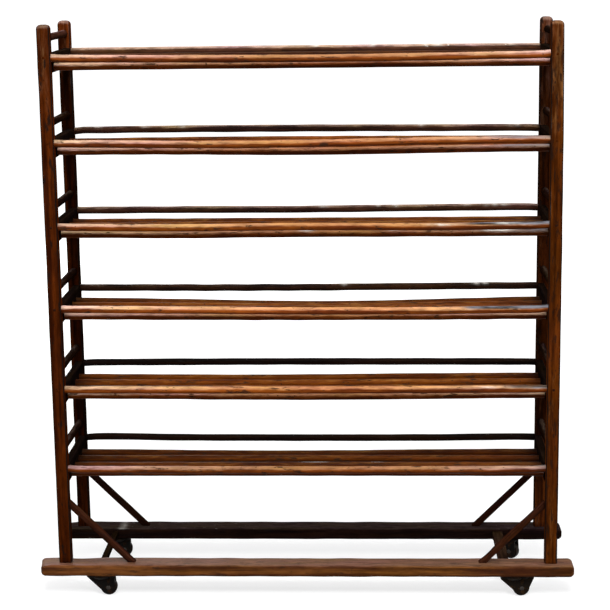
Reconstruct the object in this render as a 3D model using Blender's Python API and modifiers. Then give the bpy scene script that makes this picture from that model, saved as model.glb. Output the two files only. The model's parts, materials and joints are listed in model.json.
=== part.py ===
"""Cobbler's rolling shoe rack.

Six dowel shelves hang between four posts, which stand on two long base rails with a swivel caster
under each rail end. Metres, +Z up, the front towards -Y, the origin on the floor at the middle.
"""
import math

import bmesh
import bpy
from mathutils import Matrix, Vector

# Fits
CLEARANCE = 0.0003         # gap between a piece and its seat
CUT_OVERRUN = 0.004        # how far a cutter stands out of the face that it opens
ROD_SIDES = 12             # sides of a dowel, rung or pin

# Posts
RACK_HEIGHT = 1.743        # floor to the tops of the posts
POST_SPAN = 1.524          # along X, outside to outside
POST_PITCH = 0.336         # along Y, front post centre to rear post centre
POST_WIDTH = 0.038         # along X
POST_DEPTH = 0.032         # along Y
POST_TOP_RISE = 0.095      # post top above the top shelf's lips
POST_EDGE = 0.004          # rounding of the long edges and the top
POST_TENON_WIDTH = 0.022   # along X
POST_TENON_DEPTH = 0.018   # along Y
POST_TENON_LENGTH = 0.024  # into the base rail

# Base rails, stretchers and braces
RAIL_OVERHANG = 0.0540     # rail end past the outside of a post
RAIL_WIDTH = 0.076         # along Y
RAIL_HEIGHT = 0.037
RAIL_EDGE = 0.007
STRETCHER_INSETS = {       # stretcher centre inside the outside of a post
    "left": 0.128,
    "right": 0.155,
}
STRETCHER_WIDTHS = {       # along X
    "left": 0.018,
    "right": 0.032,
}
STRETCHER_HEIGHT = 0.016
STRETCHER_DROP = 0.007     # stretcher top below the rail tops
STRETCHER_SEAT = 0.018     # depth of its mortise in a rail
BRACE_LEG = 0.197          # outer leg along the post and along the rail
BRACE_THICKNESS = 0.017    # in the plane of the brace
BRACE_WIDTH = 0.022        # along Y

# Shelves
SHELF_COUNT = 6
LOWEST_LIP_RISE = 0.2987   # lowest lip centre above the rail tops
LIP_DIAMETER = 0.0222
LIP_SEAT = 0.016           # depth of a lip's socket in a post
GUARD_RISE = 0.055         # guard rung above the lips
GUARD_DIAMETER = 0.0222
GUARD_SEAT = 0.012         # depth of a rung's socket in a post
BED_DIAMETER = 0.0222
BED_COUNT = 4              # dowels in a bed
BED_FIRST = 0.046          # first bed dowel behind the front lip
BED_PITCH = 0.0687         # bed dowel to bed dowel
BED_DROP = 0.029           # bed dowels below the lips
BED_SEAT = 0.014           # depth of a bed dowel in a bearer
BEARER_THICKNESS = 0.022   # along X, flush with the inner faces of the posts
BEARER_RISE = 0.011        # bearer top above the lips
BEARER_FLOOR = 0.005       # bearer below the bed dowels
BEARER_TENON_THICKNESS = 0.010
BEARER_TENON_LENGTH = 0.010
BEARER_TENON_WALL = 0.005  # wood left round the tenon, towards the lip and the bearer's foot

# Casters
CASTER_INSET = 0.127       # swivel axis inside the outside of a post
CASTER_TRAIL = 0.0225      # axle behind the swivel axis
WHEEL_RADIUS = 0.026
WHEEL_WIDTH = 0.020
WHEEL_CROWN = 0.002        # rounding of the tread's edges
WHEEL_DISH = 0.003         # how far the web lies inside the rim's faces
WHEEL_RIM = 0.006
WHEEL_SIDES = 24
HUB_WALL = 0.005
AXLE_RADIUS = 0.004
AXLE_HEAD_RADIUS = 0.007
AXLE_HEAD_HEIGHT = 0.003
HORN_SIDE_GAP = 0.0012     # wheel to cheek
HORN_CHEEK = 0.004
HORN_WEB = 0.005
HORN_WHEEL_GAP = 0.0075    # wheel to the web above it
HORN_BACK = 0.040          # web behind the swivel axis
HORN_FRONT = 0.042         # web ahead of the swivel axis
HORN_TIP = 0.0065          # depth of the web's ends
HORN_EYE_RADIUS = 0.021    # cheek round the axle
HORN_EYE_STEPS = 8
RACE_RADIUS = 0.032        # flared cup round the king pin, at the plate
RACE_FOOT_RADIUS = 0.022
RACE_HEIGHT = 0.011
SWIVEL_GAP = 0.0005        # horn to plate
PLATE_LENGTH = 0.084       # along X
PLATE_WIDTH = 0.066        # along Y
PLATE_THICKNESS = 0.0045
PLATE_CORNER = 0.010
KING_PIN_RADIUS = 0.006
KING_HEAD_RADIUS = 0.009
KING_HEAD_HEIGHT = 0.003
SWIVEL_AT_REST = {         # degrees, the way each caster has been left
    "front_left": 0.0,
    "front_right": 6.0,
    "rear_left": 4.0,
    "rear_right": -32.0,
}

# Places that follow from the sizes
AXLE_HEIGHT = WHEEL_RADIUS
HORN_TOP = AXLE_HEIGHT + WHEEL_RADIUS + HORN_WHEEL_GAP + HORN_WEB
PLATE_BOTTOM = HORN_TOP + SWIVEL_GAP
RAIL_BOTTOM = PLATE_BOTTOM + PLATE_THICKNESS + CLEARANCE
RAIL_TOP = RAIL_BOTTOM + RAIL_HEIGHT
RAIL_LENGTH = POST_SPAN + 2 * RAIL_OVERHANG
TOP_LIP = RACK_HEIGHT - POST_TOP_RISE
SHELF_PITCH = (TOP_LIP - RAIL_TOP - LOWEST_LIP_RISE) / (SHELF_COUNT - 1)
LIP_HEIGHTS = [TOP_LIP - SHELF_PITCH * step for step in range(SHELF_COUNT)]
POST_FOOT = RAIL_TOP + CLEARANCE
POST_X = (POST_SPAN - POST_WIDTH) / 2
POST_Y = POST_PITCH / 2
POST_INNER_X = POST_X - POST_WIDTH / 2
POST_INNER_Y = POST_Y - POST_DEPTH / 2
BEARER_X = POST_INNER_X + BEARER_THICKNESS / 2
BEARER_DROP = BED_DROP + BED_DIAMETER / 2 + BEARER_FLOOR
BEARER_TENON_TOP = -LIP_DIAMETER / 2 - BEARER_TENON_WALL
BEARER_TENON_BOTTOM = -BEARER_DROP + BEARER_TENON_WALL
STRETCHER_MIDDLE = RAIL_TOP - STRETCHER_DROP - STRETCHER_HEIGHT / 2
CASTER_X = POST_SPAN / 2 - CASTER_INSET
FORK_INNER = WHEEL_WIDTH + 2 * HORN_SIDE_GAP
FORK_OUTER = FORK_INNER + 2 * HORN_CHEEK
BORE_RADIUS = AXLE_RADIUS + CLEARANCE
SIDES = {"left": -1, "right": 1}
ENDS = {"front": -1, "rear": 1}

for old in list(bpy.data.objects):
    bpy.data.objects.remove(old)


def new_collection(name):
    """A collection of that name in the scene."""
    made = bpy.data.collections.new(name)
    bpy.context.scene.collection.children.link(made)
    return made


RACK = new_collection("cobbler_shoe_rack")
CUTTERS = new_collection("cutters_and_joined_shapes")


def finish(name, colour, roughness, metallic=0.0):
    """A plain Principled material."""
    made = bpy.data.materials.new(name)
    made.use_nodes = True
    shader = made.node_tree.nodes["Principled BSDF"]
    shader.inputs["Base Color"].default_value = (*colour, 1.0)
    shader.inputs["Roughness"].default_value = roughness
    shader.inputs["Metallic"].default_value = metallic
    return made


POST_WOOD = finish("post_wood", (0.075, 0.022, 0.007), 0.45)
LIP_WOOD = finish("lip_wood", (0.130, 0.042, 0.013), 0.40)
GUARD_WOOD = finish("guard_wood", (0.050, 0.017, 0.007), 0.45)
BED_WOOD = finish("bed_wood", (0.105, 0.035, 0.011), 0.42)
RAIL_WOOD = finish("rail_wood", (0.115, 0.050, 0.022), 0.50)
BRACE_WOOD = finish("brace_wood", (0.045, 0.016, 0.008), 0.50)
CAST_IRON = finish("cast_iron", (0.012, 0.010, 0.009), 0.55, 0.6)
AXLE_STEEL = finish("axle_steel", (0.060, 0.050, 0.045), 0.45, 0.9)


def new_object(name, bm, collection):
    """Turns a bmesh into an object of that collection."""
    bmesh.ops.recalc_face_normals(bm, faces=bm.faces)
    mesh = bpy.data.meshes.new(name)
    bm.to_mesh(mesh)
    bm.free()
    made = bpy.data.objects.new(name, mesh)
    collection.objects.link(made)
    return made


def add_box(bm, size, centre):
    """Adds a box of that size round a centre."""
    place = Matrix.Translation(centre) @ Matrix.Diagonal((*size, 1.0))
    return bmesh.ops.create_cube(bm, size=1.0, matrix=place)["verts"]


def add_rod(bm, radius, start, end, sides=ROD_SIDES, end_radius=None):
    """Adds a round rod from start to end, or a cone; a rod that lies level has a flat on top."""
    start, end = Vector(start), Vector(end)
    along = (end - start).normalized()
    across = Vector((1.0, 0.0, 0.0)) if abs(along.z) > 0.5 else Vector((0.0, 0.0, 1.0))
    turn = Matrix((across, along.cross(across), along)).transposed().to_4x4()
    half_side = Matrix.Rotation(math.pi / sides, 4, "Z")
    bmesh.ops.create_cone(
        bm, cap_ends=True, segments=sides, radius1=radius, radius2=end_radius or radius,
        depth=(end - start).length, matrix=Matrix.Translation((start + end) / 2) @ turn @ half_side)


def part(name, bm, material, smooth=False):
    """A finished sub-part of the rack, in world place."""
    made = new_object(name, bm, RACK)
    dress(made, material, smooth)
    return made


def dress(made, material, smooth):
    """Gives a sub-part its material, and round faces a smooth shading."""
    made.data.materials.append(material)
    if smooth:
        made.data.shade_smooth()
        made.data.set_sharp_from_angle(angle=math.radians(40))


def helper(name, bm):
    """A shape that cuts or joins a sub-part and isn't one itself."""
    made = new_object(name, bm, CUTTERS)
    made.hide_render = True
    made.display_type = "WIRE"
    return made


def boolean(target, other, operation):
    """Cuts the other shape out of a sub-part, or joins it on."""
    step = target.modifiers.new(other.name, "BOOLEAN")
    step.operation = operation
    step.solver = "EXACT"
    step.object = other


def round_edges(target, width, segments, by_weight=False):
    """Rounds all sharp edges of a sub-part, or only those that carry a weight."""
    step = target.modifiers.new("rounded_edges", "BEVEL")
    step.width = width
    step.segments = segments
    step.limit_method = "WEIGHT" if by_weight else "ANGLE"


def turned(name, profile, sides, collection):
    """A turned shape round Z: profile points (radius, height) run down the outer side."""
    bm = bmesh.new()
    points = [bm.verts.new((radius, 0.0, height)) for radius, height in profile]
    for upper, lower in zip(points, points[1:]):
        bm.edges.new((upper, lower))
    if profile[0][0] > 0.0:
        bm.edges.new((points[-1], points[0]))
    mesh = bpy.data.meshes.new(name)
    bm.to_mesh(mesh)
    bm.free()
    made = bpy.data.objects.new(name, mesh)
    collection.objects.link(made)
    step = made.modifiers.new("turning", "SCREW")
    step.steps = sides
    step.render_steps = sides
    step.use_merge_vertices = True
    step.merge_threshold = 0.00001
    return made


def upright_plate(name, outline, thickness, collection):
    """A flat board of that outline in X and Z, centred on Y."""
    curve = bpy.data.curves.new(name, "CURVE")
    curve.dimensions = "2D"
    curve.fill_mode = "BOTH"
    curve.extrude = thickness / 2
    spline = curve.splines.new("POLY")
    spline.points.add(len(outline) - 1)
    for point, (across, up) in zip(spline.points, outline):
        point.co = (across, up, 0.0, 1.0)
    spline.use_cyclic_u = True
    drawn = bpy.data.objects.new(name, curve)
    CUTTERS.objects.link(drawn)
    bpy.context.view_layer.update()
    flat = bpy.data.meshes.new_from_object(drawn.evaluated_get(bpy.context.evaluated_depsgraph_get()))
    bpy.data.objects.remove(drawn)
    bm = bmesh.new()
    bm.from_mesh(flat)
    bmesh.ops.remove_doubles(bm, verts=bm.verts, dist=0.00001)
    bmesh.ops.transform(bm, matrix=Matrix.Rotation(math.pi / 2, 4, "X"), verts=bm.verts)
    bpy.data.meshes.remove(flat)
    return new_object(name, bm, collection)


def make_post(end, side):
    """A corner post: rounded top, tenon below, and the sockets of the lips, rungs and bearers."""
    toward_x, toward_y = -SIDES[side], -ENDS[end]
    name = f"{end}_{side}_post"
    middle = Vector((-toward_x * POST_X, -toward_y * POST_Y, 0.0))
    bm = bmesh.new()
    height = RACK_HEIGHT - POST_FOOT
    add_box(bm, (POST_WIDTH, POST_DEPTH, height), middle + Vector((0, 0, POST_FOOT + height / 2)))
    weight = bm.edges.layers.float.new("bevel_weight_edge")
    for edge in bm.edges:
        edge[weight] = 0.0 if all(vert.co.z < RAIL_TOP + height / 2 for vert in edge.verts) else 1.0
    post = part(name, bm, POST_WOOD)
    round_edges(post, POST_EDGE, 2, by_weight=True)

    bm = bmesh.new()
    tenon_height = 2 * POST_TENON_LENGTH
    add_box(bm, (POST_TENON_WIDTH, POST_TENON_DEPTH, tenon_height), middle + Vector((0, 0, POST_FOOT)))
    boolean(post, helper(f"{name}_tenon", bm), "UNION")

    bm = bmesh.new()
    inner_x = middle.x + toward_x * (POST_WIDTH / 2 + CUT_OVERRUN)
    inner_y = middle.y + toward_y * (POST_DEPTH / 2 + CUT_OVERRUN)
    lip_end = middle.x + toward_x * (POST_WIDTH / 2 - LIP_SEAT - CLEARANCE)
    guard_end = middle.y + toward_y * (POST_DEPTH / 2 - GUARD_SEAT - CLEARANCE)
    mortise_end = middle.y + toward_y * (POST_DEPTH / 2 - BEARER_TENON_LENGTH - CLEARANCE)
    bearer_x = -toward_x * BEARER_X
    mortise = (
        BEARER_TENON_THICKNESS + 2 * CLEARANCE,
        abs(inner_y - mortise_end),
        BEARER_TENON_TOP - BEARER_TENON_BOTTOM + 2 * CLEARANCE)
    mortise_drop = (BEARER_TENON_TOP + BEARER_TENON_BOTTOM) / 2
    for lip in LIP_HEIGHTS:
        guard = lip + GUARD_RISE
        add_rod(bm, LIP_DIAMETER / 2 + CLEARANCE, (lip_end, middle.y, lip), (inner_x, middle.y, lip))
        add_rod(bm, GUARD_DIAMETER / 2 + CLEARANCE, (middle.x, guard_end, guard), (middle.x, inner_y, guard))
        add_box(bm, mortise, (bearer_x, (inner_y + mortise_end) / 2, lip + mortise_drop))
    boolean(post, helper(f"{name}_sockets", bm), "DIFFERENCE")


def stretcher_x(side):
    """Where the middle of a stretcher lies."""
    return SIDES[side] * (POST_SPAN / 2 - STRETCHER_INSETS[side])


def make_rail(end):
    """A long base rail with rounded edges, and the mortises of the posts and stretchers."""
    toward_y = -ENDS[end]
    name = f"{end}_base_rail"
    y = ENDS[end] * POST_Y
    bm = bmesh.new()
    add_box(bm, (RAIL_LENGTH, RAIL_WIDTH, RAIL_HEIGHT), (0, y, RAIL_BOTTOM + RAIL_HEIGHT / 2))
    rail = part(name, bm, RAIL_WOOD)
    round_edges(rail, RAIL_EDGE, 2)

    bm = bmesh.new()
    mortise_bottom = POST_FOOT - POST_TENON_LENGTH - CLEARANCE
    mortise_top = RAIL_TOP + CUT_OVERRUN
    mortise = (
        POST_TENON_WIDTH + 2 * CLEARANCE, POST_TENON_DEPTH + 2 * CLEARANCE, mortise_top - mortise_bottom)
    housing_end = y + toward_y * (RAIL_WIDTH / 2 - STRETCHER_SEAT - CLEARANCE)
    housing_mouth = y + toward_y * (RAIL_WIDTH / 2 + CUT_OVERRUN)
    housing_depth = abs(housing_mouth - housing_end)
    housing_height = STRETCHER_HEIGHT + 2 * CLEARANCE
    for side, way in SIDES.items():
        add_box(bm, mortise, (way * POST_X, y, (mortise_top + mortise_bottom) / 2))
        housing = (STRETCHER_WIDTHS[side] + 2 * CLEARANCE, housing_depth, housing_height)
        add_box(bm, housing, (stretcher_x(side), (housing_mouth + housing_end) / 2, STRETCHER_MIDDLE))
    boolean(rail, helper(f"{name}_mortises", bm), "DIFFERENCE")


def make_stretcher(side):
    """A stretcher housed in both base rails."""
    bm = bmesh.new()
    length = POST_PITCH - RAIL_WIDTH + 2 * STRETCHER_SEAT
    size = (STRETCHER_WIDTHS[side], length, STRETCHER_HEIGHT)
    add_box(bm, size, (stretcher_x(side), 0, STRETCHER_MIDDLE))
    part(f"{side}_base_stretcher", bm, BRACE_WOOD)


def make_brace(end, side):
    """A diagonal brace, mitred to the inner face of its post and to the top of its rail."""
    post_face = POST_INNER_X - CLEARANCE
    foot = RAIL_TOP + CLEARANCE
    slant = BRACE_THICKNESS * math.sqrt(2)
    corners = [
        (post_face, foot + BRACE_LEG),
        (post_face - BRACE_LEG, foot),
        (post_face - BRACE_LEG + slant, foot),
        (post_face, foot + BRACE_LEG - slant)]
    outline = [(SIDES[side] * across, up) for across, up in corners]
    brace = upright_plate(f"{end}_{side}_brace", outline, BRACE_WIDTH, RACK)
    brace.location.y = ENDS[end] * POST_Y
    dress(brace, BRACE_WOOD, smooth=False)


def make_lip(end, number, lip):
    """A lip dowel between the sockets of two posts."""
    reach = POST_INNER_X + LIP_SEAT
    y = ENDS[end] * POST_Y
    bm = bmesh.new()
    add_rod(bm, LIP_DIAMETER / 2, (-reach, y, lip), (reach, y, lip))
    part(f"{end}_lip_{number}", bm, LIP_WOOD, smooth=True)


def make_guard_rung(side, number, lip):
    """A guard rung between the front and the rear post of one end."""
    reach = POST_INNER_Y + GUARD_SEAT
    place = SIDES[side] * POST_X
    bm = bmesh.new()
    add_rod(bm, GUARD_DIAMETER / 2, (place, -reach, lip + GUARD_RISE), (place, reach, lip + GUARD_RISE))
    part(f"{side}_guard_rung_{number}", bm, GUARD_WOOD, smooth=True)


def make_bed(number, lip):
    """A glued-up shelf bed: dowels between two end bearers, whose stub tenons enter the posts."""
    name = f"shelf_bed_{number}"
    reach = POST_INNER_X + BED_SEAT
    bm = bmesh.new()
    for dowel in range(BED_COUNT):
        y = -POST_Y + BED_FIRST + BED_PITCH * dowel
        add_rod(bm, BED_DIAMETER / 2, (-reach, y, lip - BED_DROP), (reach, y, lip - BED_DROP))
    bed = part(name, bm, BED_WOOD, smooth=True)

    board = (BEARER_THICKNESS, 2 * (POST_INNER_Y - CLEARANCE), BEARER_RISE + BEARER_DROP)
    tenon_length = 2 * (POST_INNER_Y + BEARER_TENON_LENGTH)
    tenon = (BEARER_TENON_THICKNESS, tenon_length, BEARER_TENON_TOP - BEARER_TENON_BOTTOM)
    boards, tenons = bmesh.new(), bmesh.new()
    for side in SIDES.values():
        add_box(boards, board, (side * BEARER_X, 0, lip + (BEARER_RISE - BEARER_DROP) / 2))
        add_box(tenons, tenon, (side * BEARER_X, 0, lip + (BEARER_TENON_TOP + BEARER_TENON_BOTTOM) / 2))
    boolean(bed, helper(f"{name}_bearers", boards), "UNION")
    boolean(bed, helper(f"{name}_tenons", tenons), "UNION")


def horn_outline():
    """The side of a horn: a top bar, and tangents from its ends to the eye round the axle."""
    eye = Vector((CASTER_TRAIL, AXLE_HEIGHT - HORN_TOP))

    def touch(corner, turn):
        """Angle on the eye where the tangent from a corner of the bar touches it."""
        away = corner - eye
        return math.atan2(away.y, away.x) + turn * math.acos(HORN_EYE_RADIUS / away.length)

    ahead, behind = Vector((HORN_FRONT, -HORN_TIP)), Vector((-HORN_BACK, -HORN_TIP))
    first = touch(ahead, -1)
    last = touch(behind, 1) - 2 * math.pi
    angles = [first + (last - first) * step / HORN_EYE_STEPS for step in range(HORN_EYE_STEPS + 1)]
    arc = [(eye.x + HORN_EYE_RADIUS * math.cos(a), eye.y + HORN_EYE_RADIUS * math.sin(a)) for a in angles]
    return [(-HORN_BACK, 0.0), (HORN_FRONT, 0.0), tuple(ahead), *arc, tuple(behind)]


def make_caster_plate(corner, x, y):
    """A caster's top plate with the king pin riveted in it."""
    name = f"{corner}_caster_plate"
    bm = bmesh.new()
    add_box(bm, (PLATE_LENGTH, PLATE_WIDTH, PLATE_THICKNESS), (0, 0, PLATE_THICKNESS / 2))
    weight = bm.edges.layers.float.new("bevel_weight_edge")
    for edge in bm.edges:
        edge[weight] = 1.0 if abs(edge.verts[0].co.z - edge.verts[1].co.z) > PLATE_THICKNESS / 2 else 0.0
    plate = part(name, bm, CAST_IRON)
    plate.location = (x, y, PLATE_BOTTOM)
    round_edges(plate, PLATE_CORNER, 2, by_weight=True)
    neck = -SWIVEL_GAP - HORN_WEB - CLEARANCE
    pin = turned(f"{name}_king_pin", [
        (0.0, PLATE_THICKNESS / 2),
        (KING_PIN_RADIUS, PLATE_THICKNESS / 2),
        (KING_PIN_RADIUS, neck),
        (KING_HEAD_RADIUS, neck),
        (KING_HEAD_RADIUS, neck - KING_HEAD_HEIGHT),
        (0.0, neck - KING_HEAD_HEIGHT)], ROD_SIDES, CUTTERS)
    pin.location = plate.location
    pin.hide_render = True
    pin.display_type = "WIRE"
    boolean(plate, pin, "UNION")


def make_horn(corner, swivel):
    """A caster's swivelling fork: side outline, wheel slot, race, and holes for king pin and axle."""
    name = f"{corner}_caster_horn"
    horn = upright_plate(name, horn_outline(), FORK_OUTER, RACK)
    horn.parent = swivel
    dress(horn, CAST_IRON, smooth=False)
    axle_drop = AXLE_HEIGHT - HORN_TOP

    race = bmesh.new()
    add_rod(race, RACE_FOOT_RADIUS, (0, 0, -RACE_HEIGHT), (0, 0, -CLEARANCE), 2 * ROD_SIDES, RACE_RADIUS)
    slot = bmesh.new()
    slot_bottom = axle_drop - HORN_EYE_RADIUS - CUT_OVERRUN
    slot_back = -HORN_BACK - CUT_OVERRUN
    slot_front = CASTER_TRAIL + HORN_EYE_RADIUS + CUT_OVERRUN
    add_box(
        slot, (slot_front - slot_back, FORK_INNER, -HORN_WEB - slot_bottom),
        ((slot_front + slot_back) / 2, 0, (slot_bottom - HORN_WEB) / 2))
    holes = bmesh.new()
    king_hole = KING_PIN_RADIUS + CLEARANCE
    add_rod(holes, king_hole, (0, 0, -RACE_HEIGHT - CUT_OVERRUN), (0, 0, CUT_OVERRUN))
    reach = FORK_OUTER / 2 + CUT_OVERRUN
    add_rod(holes, BORE_RADIUS, (CASTER_TRAIL, -reach, axle_drop), (CASTER_TRAIL, reach, axle_drop))
    for shape, word, operation in (
            (race, "race", "UNION"), (slot, "slot", "DIFFERENCE"), (holes, "holes", "DIFFERENCE")):
        other = helper(f"{name}_{word}", shape)
        other.parent = swivel
        boolean(horn, other, operation)


def make_axle(corner, swivel):
    """The riveted pin through the horn's cheeks and the wheel."""
    half = FORK_OUTER / 2 + CLEARANCE
    outer = half + AXLE_HEAD_HEIGHT
    axle = turned(f"{corner}_caster_axle", [
        (0.0, outer), (AXLE_HEAD_RADIUS, outer), (AXLE_HEAD_RADIUS, half), (AXLE_RADIUS, half),
        (AXLE_RADIUS, -half), (AXLE_HEAD_RADIUS, -half), (AXLE_HEAD_RADIUS, -outer), (0.0, -outer)],
        ROD_SIDES, RACK)
    dress(axle, AXLE_STEEL, smooth=True)
    axle.parent = swivel
    axle.location = (CASTER_TRAIL, 0.0, AXLE_HEIGHT - HORN_TOP)
    axle.rotation_euler = (math.pi / 2, 0.0, 0.0)


def make_wheel(corner, swivel):
    """An iron wheel with a dished web and a plain bore, turned so that a flat of it is lowest."""
    half = WHEEL_WIDTH / 2
    tread = WHEEL_RADIUS / math.cos(math.pi / WHEEL_SIDES)
    rim = tread - WHEEL_RIM
    hub = BORE_RADIUS + HUB_WALL
    web = half - WHEEL_DISH
    wheel = turned(f"{corner}_caster_wheel", [
        (BORE_RADIUS, half), (hub, half), (hub, web), (rim, web), (rim, half), (tread - WHEEL_CROWN, half),
        (tread, half - WHEEL_CROWN), (tread, WHEEL_CROWN - half), (tread - WHEEL_CROWN, -half), (rim, -half),
        (rim, -web), (hub, -web), (hub, -half), (BORE_RADIUS, -half)], WHEEL_SIDES, RACK)
    dress(wheel, CAST_IRON, smooth=True)
    wheel.parent = swivel
    wheel.location = (CASTER_TRAIL, 0.0, AXLE_HEIGHT - HORN_TOP)
    wheel.rotation_euler = (math.pi / 2, math.pi / WHEEL_SIDES, 0.0)


def make_caster(end, side):
    """A swivel caster under one end of a base rail; what swivels hangs on an empty on its axis."""
    corner = f"{end}_{side}"
    x, y = SIDES[side] * CASTER_X, ENDS[end] * POST_Y
    swivel = bpy.data.objects.new(f"{corner}_caster_swivel", None)
    RACK.objects.link(swivel)
    swivel.location = (x, y, HORN_TOP)
    swivel.rotation_euler.z = math.radians(SWIVEL_AT_REST[corner])
    make_caster_plate(corner, x, y)
    make_horn(corner, swivel)
    make_axle(corner, swivel)
    make_wheel(corner, swivel)


for end_name in ENDS:
    make_rail(end_name)
    for side_name in SIDES:
        make_post(end_name, side_name)
        make_brace(end_name, side_name)
        make_caster(end_name, side_name)
for side_name in SIDES:
    make_stretcher(side_name)
for shelf, lip_height in enumerate(LIP_HEIGHTS, start=1):
    make_bed(shelf, lip_height)
    for end_name in ENDS:
        make_lip(end_name, shelf, lip_height)
    for side_name in SIDES:
        make_guard_rung(side_name, shelf, lip_height)
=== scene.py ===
"""Looks of the cobbler's rolling shoe rack: old stained dowels, posts and rails on iron casters."""

import json
import math

import bpy
import numpy as np
from mathutils import Matrix, Vector


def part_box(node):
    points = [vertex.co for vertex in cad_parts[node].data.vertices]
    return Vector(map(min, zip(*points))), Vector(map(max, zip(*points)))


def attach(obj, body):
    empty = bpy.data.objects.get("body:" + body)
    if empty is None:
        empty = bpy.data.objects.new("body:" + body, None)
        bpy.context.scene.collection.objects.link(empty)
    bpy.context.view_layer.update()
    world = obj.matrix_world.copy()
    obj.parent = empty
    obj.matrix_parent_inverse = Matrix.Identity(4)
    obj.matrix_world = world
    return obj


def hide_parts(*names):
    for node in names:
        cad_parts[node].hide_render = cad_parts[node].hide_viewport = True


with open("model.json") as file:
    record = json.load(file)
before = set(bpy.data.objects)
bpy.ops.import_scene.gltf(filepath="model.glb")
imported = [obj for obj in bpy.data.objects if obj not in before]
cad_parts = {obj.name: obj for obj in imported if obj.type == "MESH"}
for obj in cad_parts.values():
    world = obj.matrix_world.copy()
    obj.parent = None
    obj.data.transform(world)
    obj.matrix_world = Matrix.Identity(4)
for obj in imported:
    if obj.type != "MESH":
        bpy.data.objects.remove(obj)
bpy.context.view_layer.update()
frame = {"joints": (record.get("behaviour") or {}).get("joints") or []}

SIDES = {"left": -1.0, "right": 1.0}
ENDS = {"front": -1.0, "rear": 1.0}
SHELVES = range(1, 7)


# Sizes in metres, read from the solids where these show them

def box_of(node):
    """Middle and half size of a solid's box, from its corners to a hundredth of a millimetre."""
    low, high = (np.round(np.array(corner, float), 5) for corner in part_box(node))
    return (low + high) / 2, (high - low) / 2


def span(node, axis, play):
    """Both ends of a solid along an axis, drawn in by a play."""
    middle, half = box_of(node)
    reach = np.eye(3)[axis] * (half[axis] - play)
    return middle - reach, middle + reach


SCENE = bpy.context.scene
JOINTS = {joint["name"]: joint for joint in frame["joints"]}
RAIL_TOP = round(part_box("front_base_rail")[1][2], 5)
POST_TOP = round(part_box("rear_right_post")[1][2], 5)
POST_INNER_Y = round(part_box("rear_right_post")[0][1], 5)
LIPS = [box_of(f"front_lip_{shelf}")[0][2] for shelf in SHELVES]

POST_FOOT_GAP = 0.0004  # foot of a post above its rail
POST_CORNER = 0.0042
PEG_DOME = [(0.0, 0.0009), (0.0026, 0.0007), (0.004, 0.0), (0.0042, -0.003), (0.0, -0.003)]
BRACE_THICKNESS = 0.017
BRACE_CORNER = 0.0022
RAIL_CORNER = 0.008
STRETCHER_CORNER = 0.002
DOWEL_RADIUS = 0.0111
SOCKET_PLAY = 0.002  # lips and stretchers end so far inside their solids
GUARD_PLAY = 0.004  # guard rungs likewise
BED_NUMBERS = range(1, 5)
BED_FIRST, BED_PITCH = -0.122, 0.0687
BED_DROP = 0.029  # front dowel of a bed below the lips
BED_SLOPE = 0.0013  # rise from one dowel of a bed to the next
BED_REACH = 0.736
BEARER_HALF = 0.011
BEARER_PLAY = 0.0002  # bearer to post
BEARER_CORNER = 0.003

# Sizes of the casters: outlines of turned pieces are points (radius, height)

PLATE_THICKNESS, PLATE_CORNER = 0.0045, 0.01
KING_PIN = [(0.0, 0.0672), (0.006, 0.0672), (0.006, 0.0592), (0.009, 0.0592), (0.009, 0.0562), (0.0, 0.0562)]
KING_PIN_ROUNDING = 0.001
SCREW_HEAD = [
    (0.0, 0.0653), (0.0042, 0.0653), (0.0042, 0.0649), (0.0036, 0.0648), (0.0022, 0.06475), (0.0, 0.0647)]
SCREW_HEAD_WEAR = [0, 0, 0.4, 0.5, 0.5, 0.5]
SCREW_X, SCREW_Y = 0.033, 0.024
HORN_REACH = (0.04, 0.042)  # behind and ahead of the swivel
LONG_HORN_REACH = (0.043, 0.06)
LONG_HORN = "front_right"
HORN_TIP = 0.0065  # depth of the horn's tips
EYE_RADIUS = 0.021  # cheek round the axle
CHEEK_INNER, CHEEK_OUTER, CHEEK_EDGE = 0.0112, 0.0152, 0.0012
CHEEK_GRAIN = 3.0  # moves its pits and rust away from those of other pieces
WEB_DROP, WEB_HALF = 0.0025, 0.0024
KING_PIN_GAP = 0.0068  # web to the swivel's axis
CUP = [
    (0.0066, -0.0005), (0.031, -0.0004), (0.032, -0.0012), (0.03, -0.004), (0.0235, -0.0098),
    (0.0215, -0.0104), (0.0195, -0.0098), (0.017, -0.005), (0.0066, -0.0048)]
CUP_WEAR = [0, 0.2, 0.6, 0.3, 0.5, 0.5, 0.2, 0, 0]
RIVET_HEAD_SEAT = 0.0155  # inner face of a rivet's head from the middle of the wheel
RIVET_HEAD = [(0.0, 0.003), (0.0045, 0.0026), (0.007, 0.0008), (0.007, 0.0), (0.004, 0.0)]
RIVET_ROUNDING = 0.0006
WHEEL_SIDE = [
    (0.0043, 0.01), (0.0093, 0.01), (0.0098, 0.0075), (0.013, 0.007), (0.019, 0.007),
    (0.02, 0.0098), (0.023, 0.01), (0.0252, 0.0088), (0.0258, 0.006), (0.026, 0.0)]
TREAD_RADIUS = 0.0245  # points further out than this are rubbed by the floor

LEAST_RADIUS = 0.0002  # what is left of a section where it closes
SHARP_EDGE = math.radians(40.0)


# Surfaces, each a closed shell of points, quads, triangles and attribute values for its points

def attributes(grain, **given):
    """Values of a grid by attribute: unworn, clean and of a middle tint where nothing else is given."""
    plain = {"wear": 0.0, "soot": 0.0, "tone": 1.0, "tint": 0.5, "pale": 0.0, "scrape": 0.0}
    shape = grain.shape[:2]
    return {"grain": grain} | {name: np.broadcast_to(value, shape) for name, value in (plain | given).items()}


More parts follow.
